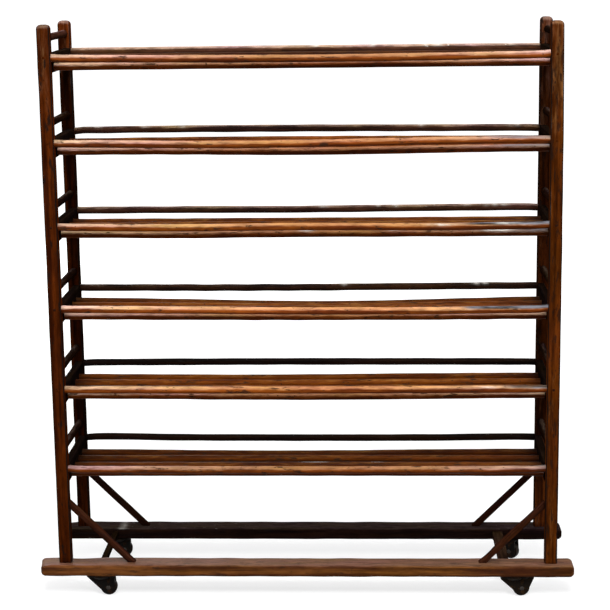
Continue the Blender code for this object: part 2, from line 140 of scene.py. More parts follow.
def outward(points, quads, triangles):
    """Turns all faces round if the signed volume, a sum over tetrahedra to the middle, is negative."""
    halves = np.vstack([quads[:, [0, 1, 2]], quads[:, [0, 2, 3]], triangles])
    corner = points[halves] - points.mean(axis=0)
    volume = np.einsum("ij,ij->i", corner[:, 0], np.cross(corner[:, 1], corner[:, 2])).sum()
    if volume < 0:
        return quads[:, ::-1], triangles[:, ::-1]
    return quads, triangles


def skin(grid, values, close_path=False):
    """Joins a grid of stations by ring points into a closed shell: rings close on themselves, and the two
    end rings close on a middle point each, unless the path closes on itself too."""
    stations, around = grid.shape[:2]
    index = np.arange(stations * around).reshape(stations, around)
    ahead = np.roll(index, -1, axis=1)
    quads = np.stack([index, ahead, np.roll(ahead, -1, axis=0), np.roll(index, -1, axis=0)], axis=-1)
    triangles = np.zeros((0, 3), dtype=int)
    points = grid.reshape(-1, 3)
    values = {name: value.reshape(stations * around, -1) for name, value in values.items()}
    if not close_path:
        quads = quads[:-1]
        low, high = len(points), len(points) + 1
        points = np.vstack([points, grid[0].mean(axis=0), grid[-1].mean(axis=0)])
        values = {
            name: np.vstack([value, value[:around].mean(axis=0), value[-around:].mean(axis=0)])
            for name, value in values.items()}
        triangles = np.vstack([
            np.stack([np.full(around, low), ahead[0], index[0]], axis=-1),
            np.stack([np.full(around, high), index[-1], ahead[-1]], axis=-1)])
    return points, *outward(points, quads.reshape(-1, 4), triangles), values


def board_ring(arc, flat):
    """Ring of a rounded board as four rows: the signs of its corner's centre, one for each half size, and the
    outward direction. Arcs turn the direction at a fixed corner, and flats move the corner at a fixed one."""
    turn = np.concatenate([np.linspace(0.0, math.pi / 2, arc + 1), np.full(flat, math.pi / 2)])
    move = np.concatenate([np.zeros(arc + 1), np.linspace(0.0, 1.0, flat + 2)[1:-1]])
    signs = np.array([[1.0, 1.0], [-1.0, 1.0], [-1.0, -1.0], [1.0, -1.0], [1.0, 1.0]])[..., None]
    rows = []
    for corner in range(4):
        angle = corner * math.pi / 2 + turn
        centre = signs[corner] + (signs[corner + 1] - signs[corner]) * move
        rows.append([*centre, np.cos(angle), np.sin(angle)])
    return np.hstack(rows)


def dowel_ring(sides):
    """Ring of a round dowel: no corner centres, only the outward direction, evenly round the circle."""
    angle = np.arange(sides) * 2 * math.pi / sides
    return np.stack([np.zeros(sides), np.zeros(sides), np.cos(angle), np.sin(angle)])


def stations_of(length, ease, count):
    """Places along a member: even ones, and closer ones on the quarter circles that ease its two ends."""
    quarter = 1.0 - np.cos(np.linspace(0.0, math.pi / 2, 6))
    return np.concatenate([
        ease[0] * quarter[:-1], np.linspace(ease[0], length - ease[1], count),
        length - ease[1] * quarter[-2::-1]])


def eased(place, length, ease):
    """How far a section draws in near the ends: a quarter circle with the ease as its radius."""
    return sum(
        radius - np.sqrt(np.maximum(radius ** 2 - np.maximum(radius - gap, 0.0) ** 2, 0.0))
        for radius, gap in zip(ease, (place, length - place)))


def hand_wear(place, angle, seed, amount):
    """Unevenness of an old surface: a sum of slow waves along the member, each fixed to a side of it."""
    chance = np.random.default_rng(seed)
    count = 7
    rate, way = chance.uniform(1.0, 9.0, count), chance.integers(0, 4, count)
    phase, turn = chance.uniform(0, 2 * math.pi, count), chance.uniform(0, 2 * math.pi, count)
    waves = np.sin(2 * math.pi * rate * place[..., None] + phase) * np.cos(way * angle[..., None] + turn)
    return amount * waves.sum(axis=-1) / math.sqrt(count)


def dents(place, angle, nicks):
    """Hollows: a nick (place, angle, length, spread, depth) is a bell curve along and round a member."""
    total = np.zeros(np.broadcast(place, angle).shape)
    for where, side, length, spread, depth in nicks:
        apart = np.angle(np.exp(1j * (angle - side)))
        total += depth * np.exp(-((place - where) / length) ** 2 - (apart / spread) ** 2)
    return total


def member(start, end, up, ring, half, corner, ease=(0.001, 0.001), count=24, bow=None, uneven=0.0, nicks=(),
           slant=(0.0, 0.0), seed=0, top=0.0, rub=(0.0, 0.0, 1.0), spread=1.5, edge=0.0, tips=0.0, joint=0.0,
           seat=0.0, reach=0.006, rim=0.0, soot=None, tone=1.0, tint=0.5, pale=None, scrapes=()):
    """A straight piece of wood or iron: a ring of half sizes and corner radius is carried from start to end.

    A point is the path's point plus each half size less the corner along its sign, plus the corner along the
    outward direction. bow(share) moves the path, slant mitres the two ends by so much along for each step
    across, and uneven and nicks press the surface in. The attributes are grain: place along and across; wear:
    the cosine to the rubbed and lit way to the power of spread, times top, plus the rounded corners (edge)
    and the eased ends (tips), which on the dowels is rubbed wood and partly a painted highlight; soot:
    darkening along the rounded corners (rim) and soot(share), less of it underneath; tone: darker by an
    exponential of the distance from the seat (joint, over a reach), grime and painted contact shade where a
    piece meets another; pale: pale(share); scrape: bell curves like the nicks, placed by the share of the
    length. top and tone may be functions too.
    like the nicks, placed by the share of the length. top and tone may be functions too."""
    start, end = np.asarray(start, float), np.asarray(end, float)
    length = np.linalg.norm(end - start)
    along = (end - start) / length
    side = np.cross(up, along)
    side /= np.linalg.norm(side)
    over = np.cross(along, side)
    place = stations_of(length, ease, count)[:, None]
    share = place / length
    sign_a, sign_b, out_a, out_b = (row[None, :] for row in ring)
    angle = np.arctan2(out_b, out_a)
    inset = eased(place, length, ease)
    drawn = np.maximum(inset - corner + LEAST_RADIUS, 0.0)
    press = -hand_wear(place, angle, seed, uneven) - dents(place, angle, nicks)
    bulge = np.maximum(corner - inset, LEAST_RADIUS) + press
    part_a = sign_a * (half[0] - corner - drawn) + bulge * out_a
    part_b = sign_b * (half[1] - corner - drawn) + bulge * out_b
    path = start + along * place
    if bow is not None:
        path = path + bow(share)
    mitre = (slant[0] * (1.0 - share) + slant[1] * share) * part_a
    grid = path[:, None, :] + mitre[..., None] * along + part_a[..., None] * side + part_b[..., None] * over

    normal = out_a[..., None] * side + out_b[..., None] * over
    corners = np.abs(2 * out_a * out_b) if np.any(sign_a) else np.zeros_like(out_a)
    lead = np.random.default_rng(seed + 1000).uniform(-9.0, 9.0, 3)
    grain = np.stack(np.broadcast_arrays(place + lead[0], part_a + lead[1], part_b + lead[2]), axis=-1)
    rubbing = top(share) if callable(top) else top
    wear = rubbing * np.clip(normal @ np.asarray(rub), 0.0, 1.0) ** spread
    wear = wear + edge * corners + tips * np.sqrt(inset / max(ease))
    darkening = rim * corners
    if soot is not None:
        darkening = darkening + soot(share) * np.clip(0.55 + 0.9 * normal[..., 2], 0.0, 1.2)
    from_joint = np.maximum(np.minimum(place, length - place) - seat, 0.0)
    shade = tone(share, normal, part_a) if callable(tone) else tone
    shade = shade * (1.0 - joint * np.exp(-from_joint / reach))
    paling = 0.0 if pale is None else pale(share)
    return skin(grid, attributes(
        grain, wear=wear, soot=darkening, tone=shade, tint=tint, pale=paling, scrape=dents(share, angle, scrapes)))


def turned(profile, centre, axis, sides, closed=False, wear=0.0, soot=0.0, tone=1.0):
    """A turned piece: profile points (radius, height) go round the axis through the centre. An open profile
    closes at both ends on the axis, and a closed one goes round a bore. wear may have a value per point."""
    profile, axis = np.asarray(profile, float), np.asarray(axis, float)
    across = np.cross(axis, (0.0, 0.0, 1.0) if abs(axis[2]) < 0.9 else (1.0, 0.0, 0.0))
    across /= np.linalg.norm(across)
    other = np.cross(axis, across)
    _, _, out_a, out_b = dowel_ring(sides)
    radius, height = np.maximum(profile[:, :1], LEAST_RADIUS), profile[:, 1:]
    round_a, round_b = radius * out_a, radius * out_b
    grid = (
        np.asarray(centre, float) + round_a[..., None] * across + round_b[..., None] * other
        + height[..., None] * axis)
    grain = np.stack(np.broadcast_arrays(height, round_a, round_b), axis=-1) + tone
    worn = np.broadcast_to(wear, len(profile))[:, None]
    return skin(grid, attributes(grain, wear=worn, soot=soot, tone=tone), close_path=closed)


def fillet(points, radius, steps):
    """Rounds a profile's corners: each becomes a quadratic curve that begins and ends a radius away."""
    points = np.asarray(points, float)
    middle = points[1:-1]
    into, out = points[:-2] - middle, points[2:] - middle
    reach_in, reach_out = (np.linalg.norm(way, axis=1, keepdims=True) for way in (into, out))
    start = middle + into / reach_in * np.minimum(radius, reach_in * 0.45)
    stop = middle + out / reach_out * np.minimum(radius, reach_out * 0.45)
    t = np.linspace(0.0, 1.0, steps + 1)[None, :, None]
    curve = (1 - t) ** 2 * start[:, None] + 2 * t * (1 - t) * middle[:, None] + t ** 2 * stop[:, None]
    return np.vstack([points[:1], curve.reshape(-1, 2), points[-1:]])


def cheek(outline, depth, place, ahead, axle):
    """A flat cheek at its place: a closed outline, ahead and up, goes through depths along the axle, drawn in
    along its own normals by a quarter circle at both faces."""
    after = np.roll(outline, -1, axis=0) - np.roll(outline, 1, axis=0)
    normal = np.stack([after[:, 1], -after[:, 0]], axis=1)
    normal /= np.linalg.norm(normal, axis=1, keepdims=True)
    swing = np.linspace(0.0, math.pi / 2, 4)
    near = CHEEK_EDGE * (1 - np.cos(swing))
    inset = np.concatenate([CHEEK_EDGE * (1 - np.sin(swing)), near])
    depths = np.concatenate([depth[0] + near, depth[1] - near[::-1]])
    flat = outline[None] - inset[:, None, None] * normal[None]
    local = np.stack([flat[..., 0], np.broadcast_to(depths[:, None], flat.shape[:2]), flat[..., 1]], axis=-1)
    grid = place + local @ np.array([ahead, axle, (0.0, 0.0, 1.0)])
    worn = 0.5 * np.sin(np.linspace(0.0, math.pi, len(depths)))[:, None]
    return skin(grid, attributes(local + CHEEK_GRAIN, wear=worn))


def new_object(name, data):
    """A new object in the scene with that data."""
    made = bpy.data.objects.new(name, data)
    SCENE.collection.objects.link(made)
    return made


def piece(name, shells, material, body, node):
    """Puts shells into one object that rides on a body and stands for its node."""
    offset = np.cumsum([0] + [len(shell[0]) for shell in shells])
    points = np.vstack([shell[0] for shell in shells])
    quads, triangles = (
        np.vstack([shell[kind] + start for shell, start in zip(shells, offset)]) for kind in (1, 2))
    corners = np.concatenate([quads.ravel(), triangles.ravel()])
    starts = np.concatenate([np.arange(len(quads)) * 4, quads.size + np.arange(len(triangles)) * 3])
    mesh = bpy.data.meshes.new(name)
    mesh.vertices.add(len(points))
    mesh.vertices.foreach_set("co", points.astype(np.float32).ravel())
    mesh.loops.add(len(corners))
    mesh.loops.foreach_set("vertex_index", corners.astype(np.int32))
    mesh.polygons.add(len(starts))
    mesh.polygons.foreach_set("loop_start", starts.astype(np.int32))
    mesh.update(calc_edges=True)
    for key in shells[0][3]:
        value = np.vstack([shell[3][key] for shell in shells]).astype(np.float32)
        kind, field = ("FLOAT_VECTOR", "vector") if value.shape[1] == 3 else ("FLOAT", "value")
        mesh.attributes.new(key, kind, "POINT").data.foreach_set(field, value.ravel())
    mesh.shade_smooth()
    mesh.set_sharp_from_angle(angle=SHARP_EDGE)
    mesh.materials.append(material)
    made = new_object(name, mesh)
    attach(made, body)
    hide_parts(node)


# Materials

class Tree:
    """Adds nodes to a node tree; an input is a socket to link or a value to set."""

    def __init__(self, tree):
        self.tree = tree

    def add(self, kind, inputs=(), output=0, **settings):
        made = self.tree.nodes.new(kind)
        for key, value in settings.items():
            setattr(made, key, value)
        for key, value in dict(inputs).items():
            if isinstance(value, bpy.types.NodeSocket):
                self.tree.links.new(value, made.inputs[key])
            else:
                made.inputs[key].default_value = value
        return made.outputs[output]

    def link(self, sources, sockets):
        """Links each named source to the socket of that name."""
        for name, source in sources.items():
            self.tree.links.new(source, sockets[name])

    def math(self, operation, first, second=0.0, third=0.0, clamp=False):
        return self.add(
            "ShaderNodeMath", {0: first, 1: second, 2: third}, operation=operation, use_clamp=clamp)

    def weighted(self, *parts):
        """Sum of (value, weight) pairs."""
        total = 0.0
        for value, weight in parts:
            total = self.math("MULTIPLY_ADD", value, weight, total)
        return total

    def noise(self, place, along, across, detail=3.0, roughness=0.55):
        """Noise that is drawn out along the first coordinate: so many waves per metre along and across."""
        moved = self.add("ShaderNodeMapping", {"Vector": place, "Scale": (along, across, across)})
        return self.add("ShaderNodeTexNoise", {
            "Vector": moved, "Scale": 1.0, "Detail": detail, "Roughness": roughness})

    def step(self, value, low, high):
        """Goes smoothly from 0 to 1 as a value goes from low to high."""
        return self.add(
            "ShaderNodeMapRange", {"Value": value, "From Min": low, "From Max": high},
            interpolation_type="SMOOTHSTEP")

    def mix(self, share, first, second, blend="MIX"):
        return self.add(
            "ShaderNodeMix", {0: share, 6: first, 7: second}, output=2, data_type="RGBA", blend_type=blend)


def group(name, colours, amounts, outputs):
    """An empty shader node group for the grain, colours and amounts: its tree, its inputs and its outputs."""
    made = bpy.data.node_groups.new(name, "ShaderNodeTree")
    inputs = {"Grain": "Vector"} | dict.fromkeys(colours, "Color") | dict.fromkeys(amounts, "Float")
    for way, sockets in (("INPUT", inputs), ("OUTPUT", outputs)):
        for socket, kind in sockets.items():
            made.interface.new_socket(socket, in_out=way, socket_type=f"NodeSocket{kind}")
    start, stop = made.nodes.new("NodeGroupInput"), made.nodes.new("NodeGroupOutput")
    return Tree(made), start.outputs, stop.inputs


PINK_CAST, GOLDEN_CAST = (1.03, 0.98, 1.45, 1.0), (1.0, 1.05, 0.72, 1.0)
PALE_END_CAST = (1.25, 1.8, 3.2, 1.0)
BRUISE_CAST, BRUISE_BLACK = (0.25, 0.5, 1.0, 1.0), (0.007, 0.005, 0.0045, 1.0)
CRACK_BLACK = (0.006, 0.004, 0.003, 1.0)
# The blue-grey on soot where it is rubbed is a painted sheen.
SOOT_BLACK, RUBBED_SOOT_SHEEN = (0.01, 0.007, 0.006, 1.0), (0.2, 0.195, 0.22, 1.0)
OLD_PAINT = (0.72, 0.69, 0.62, 1.0)


def aged_wood_group():
    """Stained wood after decades of use: fibres, figure and mottling along the grain, stain rubbed off where
    it is worn, which on the dowels is partly a painted highlight that Pale makes paler and bluer, dark
    bruises, drying cracks, soot, a painted blue-grey sheen where the soot is rubbed, and old pale paint."""
    tree, given, out = group(
        "aged_wood", ("Stain", "Deep", "Worn"),
        ("Wear", "Soot", "Tone", "Tint", "Pale", "Scrape", "Scuffs", "Bruises", "Cracks", "Flecks"),
        {"Base Color": "Color", "Roughness": "Float", "Height": "Float"})
    grain = given["Grain"]
    fibre = tree.noise(grain, 9.0, 420.0, 4.0, 0.6)
    figure = tree.noise(grain, 1.7, 75.0, 2.0)
    patch = tree.noise(grain, 8.0, 60.0)
    mottle = tree.noise(grain, 22.0, 105.0, 4.0, 0.62)
    blotch = tree.noise(grain, 3.0, 14.0, 2.0)
    drift = tree.noise(grain, 5.0, 32.0, 2.0)

    streak = tree.weighted((figure, 0.45), (blotch, 0.3), (patch, 0.25))
    stained = tree.mix(tree.step(streak, 0.4, 0.6), given["Deep"], given["Stain"])
    warmth = tree.math("ADD", given["Tint"], tree.math("MULTIPLY_ADD", drift, 1.8, -0.9), clamp=True)
    hue = tree.mix(warmth, PINK_CAST, GOLDEN_CAST)
    light = tree.add("ShaderNodeMapRange", {
        "Value": tree.weighted((fibre, 0.4), (mottle, 0.6)),
        "From Min": 0.3, "From Max": 0.7, "To Min": 0.5, "To Max": 1.5})
    light = tree.math("MULTIPLY", light, given["Tone"])
    grey = tree.add("ShaderNodeCombineColor", {0: light, 1: light, 2: light})
    lit = tree.mix(1.0, hue, grey, "MULTIPLY")

    # Worn colour: rubbed wood and, on the dowels, partly a painted highlight; Pale makes it paler and bluer.
    rubbed = tree.weighted((given["Wear"], 1.0), (patch, 0.55), (drift, 0.45), (fibre, 0.2), (mottle, 0.5))
    worn = tree.step(rubbed, 1.2, 1.75)
    paler_worn = tree.mix(1.0, given["Worn"], PALE_END_CAST, "MULTIPLY")
    bare = tree.mix(given["Pale"], given["Worn"], paler_worn)
    colour = tree.mix(1.0, tree.mix(worn, stained, bare), lit, "MULTIPLY")

    bruise = tree.math("ADD", tree.noise(grain, 17.0, 72.0, 4.0, 0.65), given["Bruises"])
    spot = tree.noise(grain, 70.0, 140.0, 2.0, 0.5)
    marks = tree.math("MAXIMUM", tree.step(bruise, 0.575, 0.655), tree.step(spot, 0.68, 0.74))
    scuff = tree.math("MULTIPLY", marks, given["Scuffs"])
    dark = tree.mix(1.0, given["Deep"], BRUISE_CAST, "MULTIPLY")
    colour = tree.mix(scuff, colour, tree.mix(1.0, dark, BRUISE_BLACK, "ADD"))

    wander = tree.noise(grain, 2.4, 150.0, 2.0, 0.5)
    line = tree.step(tree.math("ABSOLUTE", tree.math("SUBTRACT", wander, 0.5)), 0.01, 0.0)
    line = tree.math("MULTIPLY", line, tree.step(blotch, 0.48, 0.58))
    crack = tree.math("MULTIPLY", line, given["Cracks"])
    colour = tree.mix(crack, colour, CRACK_BLACK)

    soot = tree.step(tree.weighted((given["Soot"], 1.0), (patch, 0.5), (figure, 0.5)), 0.84, 1.12)
    # A painted blue-grey sheen on the soot where the wood is worn.
    rubbed_soot = tree.math("MULTIPLY", worn, tree.step(patch, 0.42, 0.62))
    colour = tree.mix(soot, colour, tree.mix(rubbed_soot, SOOT_BLACK, RUBBED_SOOT_SHEEN))

    dusty = tree.step(tree.noise(grain, 2.6, 5.0, 1.0), 0.5, 0.6)
    dusty = tree.math("MULTIPLY", dusty, tree.step(given["Wear"], 0.3, 0.7))
    drip = tree.step(tree.noise(grain, 60.0, 150.0, 2.0), 0.66, 0.71)
    drip = tree.math("MULTIPLY", tree.math("MULTIPLY", drip, dusty), given["Flecks"])
    scrape = tree.step(tree.weighted((fibre, 0.5), (mottle, 0.5)), 0.4, 0.56)
    fleck = tree.math("MAXIMUM", drip, tree.math("MULTIPLY", given["Scrape"], scrape))
    colour = tree.mix(fleck, colour, OLD_PAINT)

    rough = tree.weighted((fibre, 0.16), (mottle, 0.14), (worn, 0.06), (scuff, 0.1))
    height = tree.weighted(
        (fibre, 0.7), (patch, 0.4), (mottle, 0.35), (scuff, -0.4), (crack, -1.2), (fleck, 0.8))
    tree.link({"Base Color": colour, "Roughness": tree.math("ADD", rough, 0.32), "Height": height}, out)
    return tree.tree


def old_iron_group():
    """Blackened iron: cast pitting, brown rust in patches, and bare metal rubbed along the edges."""
    tree, given, out = group(
        "old_iron", ("Skin", "Rust", "Bare"), ("Wear",),
        {"Base Color": "Color", "Roughness": "Float", "Metallic": "Float", "Height": "Float"})
    grain = given["Grain"]
    pits = tree.noise(grain, 420.0, 420.0, 3.0, 0.6)
    patch = tree.noise(grain, 60.0, 60.0)
    rust = tree.step(patch, 0.5, 0.66)
    rubbed = tree.step(tree.weighted((given["Wear"], 1.0), (pits, 0.5)), 0.62, 0.95)
    colour = tree.mix(rubbed, tree.mix(rust, given["Skin"], given["Rust"]), given["Bare"])
    rough = tree.math("ADD", tree.weighted((rust, 0.25), (pits, 0.2)), 0.38)
    metal = tree.math("ADD", tree.weighted((rubbed, 0.3), (rust, -0.45)), 0.12, clamp=True)
    height = tree.weighted((pits, 0.6), (patch, 0.5))
    tree.link({"Base Color": colour, "Roughness": rough, "Metallic": metal, "Height": height}, out)
    return tree.tree


AGED_WOOD, OLD_IRON = aged_wood_group(), old_iron_group()


def material_with(name, effect, settings, bump, specular):
    """A Principled material fed by a group; inputs without a setting read the attribute of their name."""
    made = bpy.data.materials.new(name)
    made.use_nodes = True
    tree = Tree(made.node_tree)
    shader = made.node_tree.nodes["Principled BSDF"]
    placed = made.node_tree.nodes.new("ShaderNodeGroup")
    placed.node_tree = effect
    for socket in list(placed.inputs):
        if socket.name in settings:
            socket.default_value = settings[socket.name]
        else:
            output = "Vector" if socket.name == "Grain" else "Fac"
            read = tree.add("ShaderNodeAttribute", output=output, attribute_name=socket.name.lower())
            made.node_tree.links.new(read, socket)
    feeds = {socket.name: socket for socket in placed.outputs}
    height = feeds.pop("Height")
    normal = tree.add("ShaderNodeBump", {"Strength": 1.0, "Distance": bump, "Height": height})
    tree.link(feeds | {"Normal": normal}, shader.inputs)
    shader.inputs["Specular IOR Level"].default_value = specular
    return made


def wood(name, stain, deep, worn, scuffs, cracks=0.0, flecks=0.0, bruises=0.0, specular=0.0):
    """A wood of the rack: its stained, darkest and worn colours (worn partly a painted highlight), then its
    marks.
    """
    settings = {
        "Stain": (*stain, 1.0), "Deep": (*deep, 1.0), "Worn": (*worn, 1.0),
        "Scuffs": scuffs, "Bruises": bruises, "Cracks": cracks, "Flecks": flecks}
    return material_with(name, AGED_WOOD, settings, bump=0.0006, specular=specular)


def iron(name, skin_colour, rust, bare):
    """A blackened iron of the casters."""
    settings = {"Skin": (*skin_colour, 1.0), "Rust": (*rust, 1.0), "Bare": (*bare, 1.0)}
    return material_with(name, OLD_IRON, settings, bump=0.0005, specular=0.04)


POST_WOOD = wood(
    "post_wood_worn", (0.098, 0.023, 0.0038), (0.025, 0.0062, 0.0017), (0.2, 0.11, 0.075), 0.9, cracks=0.6)
RED_POST_WOOD = wood(
    "post_wood_red", (0.098, 0.019, 0.0022), (0.026, 0.005, 0.0011), (0.19, 0.105, 0.066), 0.9, cracks=0.6)
BRUISED_POST_WOOD = wood(
    "post_wood_bruised", (0.1, 0.0225, 0.003), (0.032, 0.007, 0.0014), (0.17, 0.076, 0.036), 0.72,
    cracks=0.6, bruises=0.045)
# The worn colours of the lips and beds are rubbed wood and partly a painted highlight on their upper fronts.
LIP_WOOD = wood(
    "lip_wood_worn_and_highlit", (0.36, 0.08, 0.008), (0.12, 0.022, 0.0028), (0.55, 0.243, 0.092), 0.9,
    cracks=0.3, specular=0.045)
REAR_LIP_WOOD = wood(
    "rear_lip_wood_dusty_and_sheen", (0.064, 0.024, 0.011), (0.017, 0.007, 0.0045), (0.275, 0.178, 0.128), 0.5,
    cracks=0.2, flecks=1.0, specular=0.02)
BED_WOOD = wood(
    "bed_wood_worn_and_highlit", (0.34, 0.078, 0.008), (0.12, 0.023, 0.003), (0.5, 0.22, 0.08), 0.9,
    cracks=0.3, specular=0.03)
# The bearers' near-black colours are painted shade; their outer faces are made lighter by their tone.
BEARER_WOOD = wood(
    "bearer_wood_dark", (0.014, 0.007, 0.004), (0.007, 0.004, 0.003), (0.05, 0.032, 0.026), 0.4)
GUARD_WOOD = wood(
    "guard_wood_dark", (0.036, 0.013, 0.006), (0.015, 0.006, 0.0035), (0.16, 0.1, 0.075), 0.5)
RAIL_WOOD = wood(
    "rail_wood_worn", (0.185, 0.066, 0.014), (0.06, 0.018, 0.005), (0.146, 0.069, 0.034), 0.5,
    cracks=0.8, specular=0.02)
REAR_RAIL_WOOD = wood(
    "rear_rail_wood_dark", (0.017, 0.007, 0.004), (0.008, 0.004, 0.003), (0.034, 0.022, 0.016), 0.4,
    cracks=0.4, flecks=0.1)
BRACE_WOOD = wood(
    "brace_wood_dark", (0.058, 0.017, 0.007), (0.024, 0.007, 0.004), (0.1, 0.052, 0.038), 0.6, cracks=0.3)
STRETCHER_WOOD = wood(
    "stretcher_wood_dark", (0.036, 0.018, 0.008), (0.017, 0.008, 0.004), (0.06, 0.036, 0.023), 0.6,
    cracks=0.2)
CAST_IRON = iron("cast_iron_black", (0.004, 0.003, 0.0025), (0.022, 0.01, 0.005), (0.035, 0.028, 0.023))
RUSTY_IRON = iron("cast_iron_rusty", (0.008, 0.005, 0.003), (0.04, 0.02, 0.008), (0.06, 0.042, 0.03))
WHEEL_IRON = iron("wheel_iron_black", (0.004, 0.003, 0.003), (0.014, 0.007, 0.004), (0.035, 0.03, 0.027))
AXLE_STEEL = iron("axle_steel_dark", (0.04, 0.034, 0.03), (0.045, 0.025, 0.015), (0.16, 0.145, 0.13))


# Bows, wear and tones along a piece, as functions of the share of its length

def logistic(distance, width):
    """Falls smoothly from 1 to 0 as a distance goes from below zero to above it."""
    return 1.0 / (1.0 + np.exp(distance / width))


def bells(share, stretches):
    """Sum of bell curves (middle, width, height) along a piece."""
    return sum(height * np.exp(-((share - middle) / width) ** 2) for middle, width, height in stretches)


def sag(dips, fade=0.03):
    """Bow of a dowel: bell curves downwards, which fade over a share of the length at both ends."""
    def path(share):
        drop = bells(share, dips) * np.clip(np.minimum(share, 1 - share) / fade, 0, 1)
        return np.concatenate([0 * drop, 0 * drop, -drop], axis=1)
    return path


def lean(bend):
    """Bow of a right post: it leans in and settles with its height, and a sixth power bends in its top."""
    foot_out, lean_in, settling = 0.0025, 0.0055, 0.003

    def path(share):
        outwards = foot_out - lean_in * share - bend * share ** 6
        return np.concatenate([outwards, 0 * share, -settling * share], axis=1)
    return path


def ramp(start, stop, height):
    """Soot that grows smoothly from one share of the length to another."""
    def amount(share):
        t = np.clip((share - start) / (stop - start), 0.0, 1.0)
        return height * t * t * (3 - 2 * t)
    return amount


def paler_ends(share):
    """Paling of a front dowel: none right of its middle, and the square of the way from there to an end."""
    unfaded = 0.58
    apart = share - unfaded
    return np.clip((apart / np.where(apart < 0, unfaded, 1.0 - unfaded)) ** 2, 0.0, 1.0)


def brighter_ends(middle, gain):
    """Tone of a front dowel that grows by a gain with its paling towards the ends."""
    return lambda share, normal, across: middle * (1.0 + gain * paler_ends(share))


def rear_post_shade(lit_tone, edge, shaded_tone, foot):
    """Tone of a back post, painted light and shade: lit above the top shelf and at the back. Below it the
    front is painted shade that goes over, by a logistic curve across, from the tone of its left edge to a
    darker one, and below the lowest shelf to that of its foot."""
    top_shelf, lowest_shelf, edge_across = 0.93, 0.165, -0.008

    def shade(share, normal, across):
        facing = np.clip(0.6 - 0.9 * normal[..., 1] + 0.4 * normal[..., 0], 0.0, 1.0)
        shelf_side = logistic(share - top_shelf, 0.006) * facing
        front_shade = shaded_tone + (edge - shaded_tone) * logistic(across - edge_across, 0.003)
        front_shade = front_shade + (foot - front_shade) * logistic(share - lowest_shelf, 0.008)
        return lit_tone + (front_shade - lit_tone) * shelf_side
    return shade


def patchy(level, stretches):
    """Tone along a front post: a level that bell curves raise or lower by their height."""
    return lambda share, normal, across: level * (1.0 + bells(share, stretches))


def dusty_head(body, head):
    """Rubbing of a post that grows smoothly near its top."""
    return lambda share: body + (head - body) * logistic(0.8 - share, 0.03)


def lighter_towards(way, shaded_tone, lit_tone):
    """Painted shade: a tone going from a shaded value to a lit one with the cosine between the normal and a
    way.
    """
    return lambda share, normal, across: shaded_tone + (lit_tone - shaded_tone) * np.clip(normal @ np.array(way), 0.0, 1.0)


# Posts, braces, rails and stretchers

BOARD = board_ring(4, 3)
POST_RING, RAIL_RING, BEARER_RING = board_ring(5, 5), board_ring(6, 5), board_ring(4, 4)
# The lowest bell of each front post darkens its foot as painted shade.
POST_LOOKS = {  # wood, bow, tint and tone
    ("front", "left"): (RED_POST_WOOD, None, 0.5, patchy(0.82, [
        (0.857, 0.06, 0.2), (0.7, 0.06, 0.7), (0.555, 0.06, 0.45), (0.396, 0.05, -0.25),
        (0.086, 0.08, -0.3)])),
    ("front", "right"): (BRUISED_POST_WOOD, lean(0.0044), 0.8, patchy(1.18, [
        (0.854, 0.06, 0.2), (0.697, 0.05, -0.25), (0.55, 0.06, -0.36), (0.4, 0.05, 0.2),
        (0.26, 0.05, 0.3), (0.09, 0.08, -0.22)])),
    # The back posts' tones are painted light and shade.
    ("rear", "left"): (RED_POST_WOOD, None, 0.5, rear_post_shade(1.3, 0.95, 0.29, 0.46)),
    ("rear", "right"): (POST_WOOD, lean(0.0), 0.5, rear_post_shade(1.0, 0.75, 0.6, 1.55))}
POST_RUBBING = {"left": dusty_head(0.15, 0.36), "right": dusty_head(0.3, 0.47)}
PEG_SOOT = {"left": [0.1, 0.15, 0.45, 0.45, 0.2, 0.15], "right": [0.15, 0.3, 0.45, 0.2, 0.45, 0.15]}
BRACE_NICKS = {"front_right_brace": [
    (0.034, math.pi, 0.014, 1.0, 0.006), (0.2, math.pi, 0.03, 1.0, 0.003)]}
BRACE_TONES = {"front": 0.75, "rear": 0.4}
RAIL_LOOKS = {  # wood, tone, skew of the left end, nicks and scrapes
    "front": (RAIL_WOOD, 0.9, -0.13, [
        (0.125, math.pi / 4, 0.045, 0.9, 0.006), (0.9, math.pi / 4, 0.5, 0.8, 0.002),
        (0.0, math.pi / 2, 0.03, 0.8, 0.004)], ()),
    # The rear rail's front face is painted shade; its back is lighter.
    "rear": (REAR_RAIL_WOOD, lighter_towards((0, 1, 0), 1.0, 2.4), 0.0, [
        (0.01, math.pi / 2, 0.022, 0.9, 0.012)], [(0.125, 2.0, 0.006, 0.4, 1.0)])}
STRETCHER_TONES = {"left": 0.4, "right": 0.9}


def peg(face, lip, bow, soot):
    """A peg that pins a lip in its post: a domed disc on the post's outer face, moved with the post's bow."""
    share = (lip - RAIL_TOP) / (POST_TOP - RAIL_TOP)
    moved = np.zeros(3) if bow is None else bow(np.array([[share]]))[0]
    return turned(PEG_DOME, (*face, lip) + moved, (0, np.sign(face[1]), 0), 16, soot=soot, tone=0.7)


